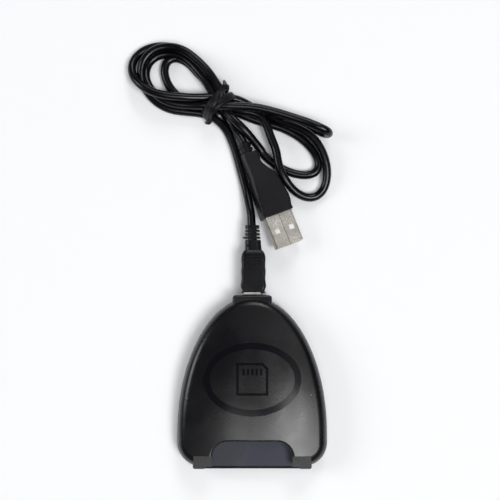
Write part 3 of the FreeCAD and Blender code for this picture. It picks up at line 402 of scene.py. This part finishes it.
def metal(name, colour, roughness, turn=0.0, fleck=0.0, seam=None):
    """Plated or drawn metal: long drawn lines, faint tarnish and small differences in gloss."""
    material, tree, shader = surface(name)
    place = add(tree, "ShaderNodeTexCoord").outputs["Object"]
    spun = add(tree, "ShaderNodeMapping", {
        "Vector": place, "Rotation": (0.0, 0.0, turn),
        "Scale": (1 / LINE_APART, 1 / LINE_LONG, 1 / LINE_LONG)})
    lines = add(tree, "ShaderNodeTexNoise",
                {"Vector": spun.outputs[0], "Scale": 1.0, "Detail": 2.0}).outputs[0]
    texture = use(tree, "moulded_grain", Cloud=0.006)
    marks = use(tree, "fine_scuffs", Length=0.004, Width=0.00008)
    base = blend(tree, texture.outputs["Cloud"], shifted(colour, 0.82), shifted(colour, 1.08))
    if fleck:
        grains = add(tree, "ShaderNodeTexNoise", {"Vector": place, "Scale": 2400.0, "Detail": 1.0}).outputs[0]
        dull = maths(tree, "MULTIPLY", remap(tree, grains, 0.62, 0.40), fleck)
        base = blend(tree, dull, base, shifted(colour, 0.55))
    if seam:
        local = tree.nodes.new("ShaderNodeMapping")
        local.vector_type = "TEXTURE"
        tree.links.new(place, local.inputs["Vector"])
        local.inputs["Location"].default_value = seam
        local.inputs["Rotation"].default_value = (0.0, 0.0, -turn)
        across = add(tree, "ShaderNodeSeparateXYZ", {0: local.outputs[0]}).outputs["X"]
        joint = remap(tree, maths(tree, "ABSOLUTE", across), 0.00016, 0.00006)
        base = blend(tree, maths(tree, "MULTIPLY", joint, 0.8), base, shifted(colour, 0.12))
    rough = maths(tree, "MULTIPLY_ADD", lines, 0.10, roughness - 0.05)
    rough = maths(tree, "MULTIPLY_ADD", texture.outputs["Cloud"], 0.08, rough)
    rough = maths(tree, "MULTIPLY_ADD", marks.outputs["Mask"], 0.15, rough, clamp=True)
    tree.links.new(base, shader.inputs["Base Color"])
    tree.links.new(rough, shader.inputs["Roughness"])
    shader.inputs["Metallic"].default_value = 1.0
    relief = add(tree, "ShaderNodeBump", {"Height": lines, "Strength": 0.5, "Distance": 0.00001})
    tree.links.new(relief.outputs[0], shader.inputs["Normal"])
    return material


def board_mask():
    """Board laminate under solder mask: copper tracks are lighter ridges, and glass weave a faint check."""
    material, tree, shader = surface("board_laminate")
    place = add(tree, "ShaderNodeTexCoord").outputs["Object"]
    tracks = add(tree, "ShaderNodeTexBrick", {
        "Vector": place, "Scale": 160.0, "Mortar Size": 0.035, "Mortar Smooth": 0.3,
        "Brick Width": 1.7, "Row Height": 0.32}, offset=0.37).outputs["Fac"]
    weave = add(tree, "ShaderNodeTexChecker", {"Vector": place, "Scale": 1400.0}).outputs["Fac"]
    pours = add(tree, "ShaderNodeTexVoronoi", {"Vector": place, "Scale": 90.0},
                distance="CHEBYCHEV").outputs["Distance"]
    copper = maths(tree, "MAXIMUM", tracks, remap(tree, pours, 0.42, 0.46))
    base = blend(tree, copper, (0.008, 0.060, 0.028, 1.0), (0.020, 0.130, 0.055, 1.0))
    base = blend(tree, maths(tree, "MULTIPLY", weave, 0.12), base, (0.03, 0.11, 0.06, 1.0))
    tree.links.new(base, shader.inputs["Base Color"])
    tree.links.new(maths(tree, "MULTIPLY_ADD", copper, -0.08, 0.34), shader.inputs["Roughness"])
    height = maths(tree, "MULTIPLY_ADD", weave, 0.2, copper)
    relief = add(tree, "ShaderNodeBump", {"Height": height, "Strength": 0.7, "Distance": 0.00003})
    tree.links.new(relief.outputs[0], shader.inputs["Normal"])
    return material


def cord_jacket(colour):
    """The cord's soft jacket: a satin skin over the twisted wires inside, rubbed along its length."""
    material, tree, shader = surface("cord_jacket")
    line = add(tree, "ShaderNodeTexCoord").outputs["UV"]
    apart = add(tree, "ShaderNodeSeparateXYZ", {0: line})
    around = maths(tree, "MULTIPLY", apart.outputs[1], 4 * math.pi)
    twist = maths(tree, "MULTIPLY_ADD", apart.outputs[0], 620.0, around)
    strands = maths(tree, "SINE", twist)
    texture = use(tree, "moulded_grain", Size=0.00035, Cloud=0.009)
    marks = use(tree, "fine_scuffs", Length=0.006, Width=0.00025)
    specks = use(tree, "settled_dust", Spacing=0.0035)
    base = blend(tree, texture.outputs["Cloud"], shifted(colour, 0.85), shifted(colour, 1.2))
    base = blend(tree, maths(tree, "MULTIPLY", marks.outputs["Mask"], 0.5), base, shifted(colour, 2.8))
    base = blend(tree, maths(tree, "MULTIPLY", specks.outputs["Mask"], 0.7), base, (0.22, 0.22, 0.23, 1.0))
    rough = maths(tree, "MULTIPLY_ADD", texture.outputs["Cloud"], 0.10, 0.19)
    rough = maths(tree, "MULTIPLY_ADD", marks.outputs["Mask"], 0.12, rough)
    tree.links.new(base, shader.inputs["Base Color"])
    tree.links.new(rough, shader.inputs["Roughness"])
    shader.inputs["Specular IOR Level"].default_value = 0.30
    height = maths(tree, "MULTIPLY_ADD", strands, 0.35, texture.outputs["Height"])
    relief = add(tree, "ShaderNodeBump", {"Height": height, "Strength": 0.6, "Distance": 0.00003})
    tree.links.new(relief.outputs[0], shader.inputs["Normal"])
    return material


def wear(node, material):
    """Puts a finish on a CAD piece."""
    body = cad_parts[node]
    body.data.materials.clear()
    body.data.materials.append(material)


def smooth_path(points, closed=False):
    """Points along the smooth line that these control points pull, read from the line itself."""
    line = bpy.data.curves.new("path", "CURVE")
    line.dimensions = "3D"
    line.resolution_u = 8
    spline = line.splines.new("NURBS")
    spline.points.add(len(points) - 1)
    for knot, point in zip(spline.points, points):
        knot.co = (*point, 1.0)
    spline.use_cyclic_u = closed
    spline.order_u = 3
    spline.use_endpoint_u = not closed
    holder = bpy.data.objects.new("path", line)
    mesh = bpy.data.meshes.new_from_object(holder)
    places = [vertex.co.copy() for vertex in mesh.vertices]
    bpy.data.objects.remove(holder)
    bpy.data.curves.remove(line)
    bpy.data.meshes.remove(mesh)
    return places


def ribbon(name, path, outward, width, thickness, closed, twist=0.0):
    """A flat ribbon along path, thicker over the wire in its middle, whose flat side faces outward."""
    profile = ((-0.5, -0.25), (-0.5, 0.25), (-0.2, 0.36), (-0.08, 0.5), (0.08, 0.5), (0.2, 0.36),
               (0.5, 0.25), (0.5, -0.25), (0.2, -0.36), (-0.2, -0.36))
    verts, faces = [], []
    count, sides = len(path), len(profile)
    for i, centre in enumerate(path):
        before = path[i - 1] if (closed or i) else path[0]
        after = path[(i + 1) % count] if (closed or i < count - 1) else path[-1]
        ahead = (after - before).normalized()
        up = outward(centre)
        side = ahead.cross(up).normalized()
        up = side.cross(ahead).normalized()
        roll = twist * i / count
        side, up = side * math.cos(roll) + up * math.sin(roll), up * math.cos(roll) - side * math.sin(roll)
        verts += [centre + side * (a * width) + up * (b * thickness) for a, b in profile]
    for i in range(count if closed else count - 1):
        low, high = i * sides, ((i + 1) % count) * sides
        faces += [(low + k, low + (k + 1) % sides, high + (k + 1) % sides, high + k) for k in range(sides)]
    if not closed:
        faces += [tuple(range(sides))[::-1], tuple(range((count - 1) * sides, count * sides))]
    mesh = bpy.data.meshes.new(name)
    mesh.from_pydata(verts, [], faces)
    mesh.update()
    for face in mesh.polygons:
        face.use_smooth = len(face.vertices) == 4
    piece = bpy.data.objects.new(name, mesh)
    bpy.context.scene.collection.objects.link(piece)
    return piece


class READER_OT_effects(bpy.types.Operator):
    """Builds the surface effects that the finishes share"""
    bl_idname = "reader.effects"
    bl_label = "Build shared effects"

    def execute(self, context):
        moulded_grain()
        settled_dust()
        fine_scuffs()
        return {"FINISHED"}


class READER_OT_lay_cord(bpy.types.Operator):
    """Lays the cord along its route, from the mini plug through its wound loops to the USB plug"""
    bl_idname = "reader.lay_cord"
    bl_label = "Lay the cord"

    def execute(self, context):
        lead = context.scene.reader_lead
        route = cord_route()
        line = bpy.data.curves.new("wound_cord", "CURVE")
        line.dimensions = "3D"
        line.bevel_depth = lead.cord_diameter / 2
        line.bevel_resolution = 6
        line.resolution_u = 10
        line.use_fill_caps = True
        spline = line.splines.new("NURBS")
        spline.points.add(len(route) - 1)
        for knot, (x, y, z) in zip(spline.points, route):
            knot.co = (x * MM, y * MM, z * MM, 1.0)
        spline.order_u = 3
        spline.use_endpoint_u = True
        cord = bpy.data.objects.new("wound_cord", line)
        context.scene.collection.objects.link(cord)
        line.materials.append(cord_jacket(lead.cord_colour))
        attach(cord, "lead")
        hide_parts("cord_lead", "cord_tail", "cord_hank")
        return {"FINISHED"}


class READER_OT_wind_tie(bpy.types.Operator):
    """Winds the tie's ribbon round the bundle and twists its ends together"""
    bl_idname = "reader.wind_tie"
    bl_label = "Wind the tie"

    def execute(self, context):
        lead = context.scene.reader_lead
        middle = (TIE_BOX[0] + TIE_BOX[1]) / 2
        finish = plastic("tie_ribbon", (0.0055, 0.0055, 0.0068), 0.36, 0.00022, 0.00003, scuff=0.6)
        for name, slide, slant, swell in TIE_TURNS:
            lean = math.radians(TIE_LEAN + slant)
            along = Vector((math.cos(lean), math.sin(lean), 0.0))
            across = Vector((-along.y, along.x, 0.0))
            start = Vector((middle.x, middle.y, 0.0)) + across * (slide * MM)
            wider, higher = MM * (1 + 0.03 * swell), MM * (1 + 0.05 * swell)
            loop = [start + along * (u * wider) + Vector((0, 0, z * higher)) for u, z in BUNDLE_OUTLINE]
            path = smooth_path(loop, closed=True)
            heart = start + Vector((0, 0, 5 * MM))

            def outward(point, heart=heart, across=across):
                away = point - heart
                return away - across * away.dot(across)

            turn = ribbon(name, path, outward, lead.tie_width, lead.tie_thickness, closed=True)
            turn.data.materials.append(finish)
            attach(turn, "lead")
            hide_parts("cord_tie")
        lean = math.radians(TIE_LEAN)
        along = Vector((math.cos(lean), math.sin(lean), 0.0))
        across = Vector((-along.y, along.x, 0.0))
        for name, points in TIE_ENDS:
            start = Vector((middle.x, middle.y, 0))
            path = smooth_path([start + along * (u * MM) + across * (v * MM) + Vector((0, 0, z * MM))
                                for u, v, z in points])
            end = ribbon(name, path, lambda point: Vector((0.2, 0.1, 1.0)), lead.tie_width * 0.8,
                         lead.tie_thickness, closed=False, twist=math.pi if name != "tie_end_low" else 0.4)
            end.data.materials.append(finish)
            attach(end, "lead")
            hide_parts("cord_tie")
        return {"FINISHED"}


class READER_OT_declare_cord(bpy.types.Operator):
    """Gathers the USB plug's pieces and the tie's turns and ends that lie on the cord into a list, and does
    nothing further with them
    """
    bl_idname = "reader.declare_cord"
    bl_label = "Declare the cord"

    def execute(self, context):
        plug = ("usb_plug_shell", "usb_plug_insulator", "usb_plug_contacts", "usb_plug_grip",
                "usb_plug_strain_relief")
        on_it = [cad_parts[name] for name in plug]
        on_it += [bpy.data.objects[name] for name, *_ in TIE_TURNS + TIE_ENDS]
        return {"FINISHED"}


class READER_OT_finish_case(bpy.types.Operator):
    """Gives the case, its inlays and its screws their finishes"""
    bl_idname = "reader.finish_case"
    bl_label = "Finish the case"

    def execute(self, context):
        case = context.scene.reader_case
        wear("upper_case", plastic("shell_plastic", case.shell_colour, case.shell_roughness, case.grain_size,
                                   0.000010, dust=0.055, scuff=0.5, gloss=0.42))
        # The tray's low upward card floor gets a lighter blue-grey tint, partly rubbed dust and partly a
        # painted sky reflection.
        wear("lower_case", plastic("tray_plastic", case.shell_colour, case.tray_roughness, 0.0003, 0.00004,
                                   dust=0.03, scuff=0.35, gloss=0.3, dust_and_sheen_tint=case.dust_and_sheen_colour))
        inlay = plastic("emblem_gloss", case.emblem_colour, 0.16, 0.0009, 0.000004, scuff=0.5, spread=0.05)
        wear("emblem_ring", inlay)
        wear("emblem_card", inlay)
        wear("case_screws", metal("screw_steel", (0.42, 0.42, 0.43), 0.32))
        return {"FINISHED"}


class READER_OT_finish_electronics(bpy.types.Operator):
    """Gives the board, its parts and the card's contacts their finishes"""
    bl_idname = "reader.finish_electronics"
    bl_label = "Finish the electronics"

    def execute(self, context):
        wear("main_board", board_mask())
        wear("card_slot_housing",
             plastic("connector_plastic", (0.014, 0.014, 0.015), 0.5, 0.00025, 0.00003, scuff=0.4))
        gold = metal("contact_gold", (0.86, 0.60, 0.22), 0.24)
        for node in ("card_contacts", "usb_socket_contacts", "mini_plug_contacts", "usb_plug_contacts"):
            wear(node, gold)
        tin = metal("solder_tin", (0.62, 0.62, 0.60), 0.38)
        for node in ("card_contact_tails", "controller_leads", "memory_leads"):
            wear(node, tin)
        wear("usb_socket_shell", metal("socket_plate", (0.60, 0.59, 0.57), 0.27))
        wear("usb_socket_tongue", plastic("tongue_plastic", (0.012, 0.012, 0.013), 0.45, 0.00025, 0.00002))
        resin = plastic("chip_resin", (0.013, 0.013, 0.014), 0.55, 0.00016, 0.00002, spread=0.06)
        wear("controller_chip", resin)
        wear("memory_chip", resin)
        wear("crystal", metal("crystal_can", (0.66, 0.66, 0.65), 0.28, turn=0.8))
        wear("capacitors", plastic("ceramic_tan", (0.32, 0.19, 0.09), 0.42, 0.0002, 0.00001))
        wear("resistors", plastic("ceramic_black", (0.018, 0.018, 0.020), 0.38, 0.0002, 0.00001))
        return {"FINISHED"}


class READER_OT_finish_plugs(bpy.types.Operator):
    """Gives both plugs their grips, shells and inner plastic"""
    bl_idname = "reader.finish_plugs"
    bl_label = "Finish the plugs"

    def execute(self, context):
        lead = context.scene.reader_lead
        grip = plastic("grip_vinyl", lead.grip_colour, 0.30, 0.00034, 0.00003,
                       dust=0.04, scuff=0.6, gloss=0.28)
        for node in ("mini_plug_grip", "mini_plug_strain_relief", "usb_plug_grip", "usb_plug_strain_relief"):
            wear(node, grip)
        wear("mini_plug_shell", metal("plated_shell", lead.plate_colour, 0.30, fleck=0.5))
        wear("usb_plug_shell", metal("seamed_shell", lead.plate_colour, 0.30,
                                     turn=math.radians(USB_A_TURN), fleck=0.7, seam=SHELL_SEAM))
        wear("usb_plug_insulator",
             plastic("white_plastic", (0.80, 0.80, 0.79), 0.42, 0.0003, 0.00001, scuff=0.1))
        wear("mini_plug_insulator", plastic("black_insulator", (0.014, 0.014, 0.015), 0.45, 0.0003, 0.00001))
        return {"FINISHED"}


def soft_box(name, power, size, place, target):
    """A square soft light at place, turned to target."""
    lamp = bpy.data.lights.new(name, "AREA")
    lamp.energy = power
    lamp.size = size
    holder = bpy.data.objects.new(name, lamp)
    holder.location = place
    holder.rotation_euler = (target - Vector(place)).to_track_quat("-Z", "Y").to_euler()
    bpy.context.scene.collection.objects.link(holder)


class READER_OT_set_stage(bpy.types.Operator):
    """Lays the pale floor, hangs the soft lights and sets the camera over the reader"""
    bl_idname = "reader.set_stage"
    bl_label = "Set the stage"

    def execute(self, context):
        stage = context.scene.reader_stage
        low, high = (Vector(corner) for corner in CAD_BOX)
        middle = (low + high) / 2
        mesh = bpy.data.meshes.new("table_top")
        corners = [(x * FLOOR_HALF, y * FLOOR_HALF, 0) for x, y in ((-1, -1), (1, -1), (1, 1), (-1, 1))]
        mesh.from_pydata(corners, [], [(0, 1, 2, 3)])
        floor = bpy.data.objects.new("table_top", mesh)
        floor.location = (middle.x, middle.y, low.z - FLOOR_GAP)
        context.scene.collection.objects.link(floor)
        material, tree, shader = surface("table_paper")
        place = add(tree, "ShaderNodeTexCoord").outputs["Object"]
        cloud = add(tree, "ShaderNodeTexNoise", {"Vector": place, "Scale": 3.0, "Detail": 2.0}).outputs[0]
        tint = blend(tree, cloud, shifted(stage.floor_colour, 0.995), shifted(stage.floor_colour, 1.005))
        tree.links.new(tint, shader.inputs["Base Color"])
        shader.inputs["Roughness"].default_value = 0.9
        shader.inputs["Specular IOR Level"].default_value = 0.1
        mesh.materials.append(material)

        world = bpy.data.worlds.new("studio_air")
        context.scene.world = world
        world.use_nodes = True
        air = world.node_tree.nodes["Background"]
        way = add(world.node_tree, "ShaderNodeTexCoord").outputs["Generated"]
        height = add(world.node_tree, "ShaderNodeSeparateXYZ", {0: way}).outputs["Z"]
        ring = add(world.node_tree, "ShaderNodeValToRGB", {0: height}).outputs[0]
        steps = ring.node.color_ramp
        steps.elements[0].color = (0.16, 0.163, 0.166, 1.0)
        steps.elements[1].color = (0.26, 0.265, 0.27, 1.0)
        for place_up, level in ((0.30, 0.16), (0.62, 0.18), (0.80, 0.38), (0.92, 0.30)):
            steps.elements.new(place_up).color = (level * 0.97, level * 0.985, level, 1.0)
        world.node_tree.links.new(ring, air.inputs["Color"])
        air.inputs["Strength"].default_value = stage.sky_strength
        soft_box("key_box", stage.key_power, 0.8, (0.78, -0.62, 1.92), middle)
        soft_box("front_box", stage.key_power * 0.3, 0.8, (-0.12, -0.70, 2.02), middle)
        soft_box("side_box_left", stage.fill_power, 0.8, (-1.6, 0.3, 1.0), middle)
        soft_box("back_box", stage.fill_power, 0.8, (0.3, 1.7, 1.3), middle)
        soft_box("plug_box", stage.fill_power * 0.22, 1.2, (1.0, 0.6, 1.86), middle)
        context.scene.view_settings.view_transform = "Standard"

        lens = bpy.data.cameras.new("overhead_camera")
        lens.lens = stage.lens
        lens.sensor_width = 36
        lens.clip_start = 0.01
        eye = bpy.data.objects.new("overhead_camera", lens)
        back = Vector((0.0, -math.cos(stage.camera_height), math.sin(stage.camera_height)))
        aim = Vector(AIM) * MM
        eye.location = aim + back * stage.camera_distance
        eye.rotation_euler = (-back).to_track_quat("-Z", "Y").to_euler()
        context.scene.collection.objects.link(eye)
        context.scene.camera = eye
        return {"FINISHED"}


class READER_PT_panel(bpy.types.Panel):
    """Every step of the card reader's scene, with its sizes and colours"""
    bl_idname = "READER_PT_panel"
    bl_label = "Card Reader"
    bl_space_type = "VIEW_3D"
    bl_region_type = "UI"
    bl_category = "Card Reader"

    def draw(self, context):
        for group in (context.scene.reader_case, context.scene.reader_lead, context.scene.reader_stage):
            box = self.layout.box()
            for name in group.bl_rna.properties.keys():
                if name not in {"rna_type", "name"}:
                    box.prop(group, name)
        for step in STEPS:
            self.layout.operator(step.bl_idname)


STEPS = (
    READER_OT_effects,
    READER_OT_set_stage,
    READER_OT_lay_cord,
    READER_OT_wind_tie,
    READER_OT_declare_cord,
    READER_OT_finish_case,
    READER_OT_finish_electronics,
    READER_OT_finish_plugs,
)
GROUPS = (("reader_case", ReaderCaseFinish), ("reader_lead", ReaderLeadFinish), ("reader_stage", ReaderStage))


def register():
    for name, group in GROUPS:
        bpy.utils.register_class(group)
        setattr(bpy.types.Scene, name, bpy.props.PointerProperty(type=group))
    for kind in (*STEPS, READER_PT_panel):
        bpy.utils.register_class(kind)


def unregister():
    for kind in reversed((*STEPS, READER_PT_panel)):
        bpy.utils.unregister_class(kind)
    for name, group in reversed(GROUPS):
        delattr(bpy.types.Scene, name)
        bpy.utils.unregister_class(group)


def main():
    register()
    bpy.ops.reader.effects()
    bpy.ops.reader.set_stage()
    bpy.ops.reader.lay_cord()
    bpy.ops.reader.wind_tie()
    bpy.ops.reader.declare_cord()
    bpy.ops.reader.finish_case()
    bpy.ops.reader.finish_electronics()
    bpy.ops.reader.finish_plugs()


if __name__ == "__main__":
    main()
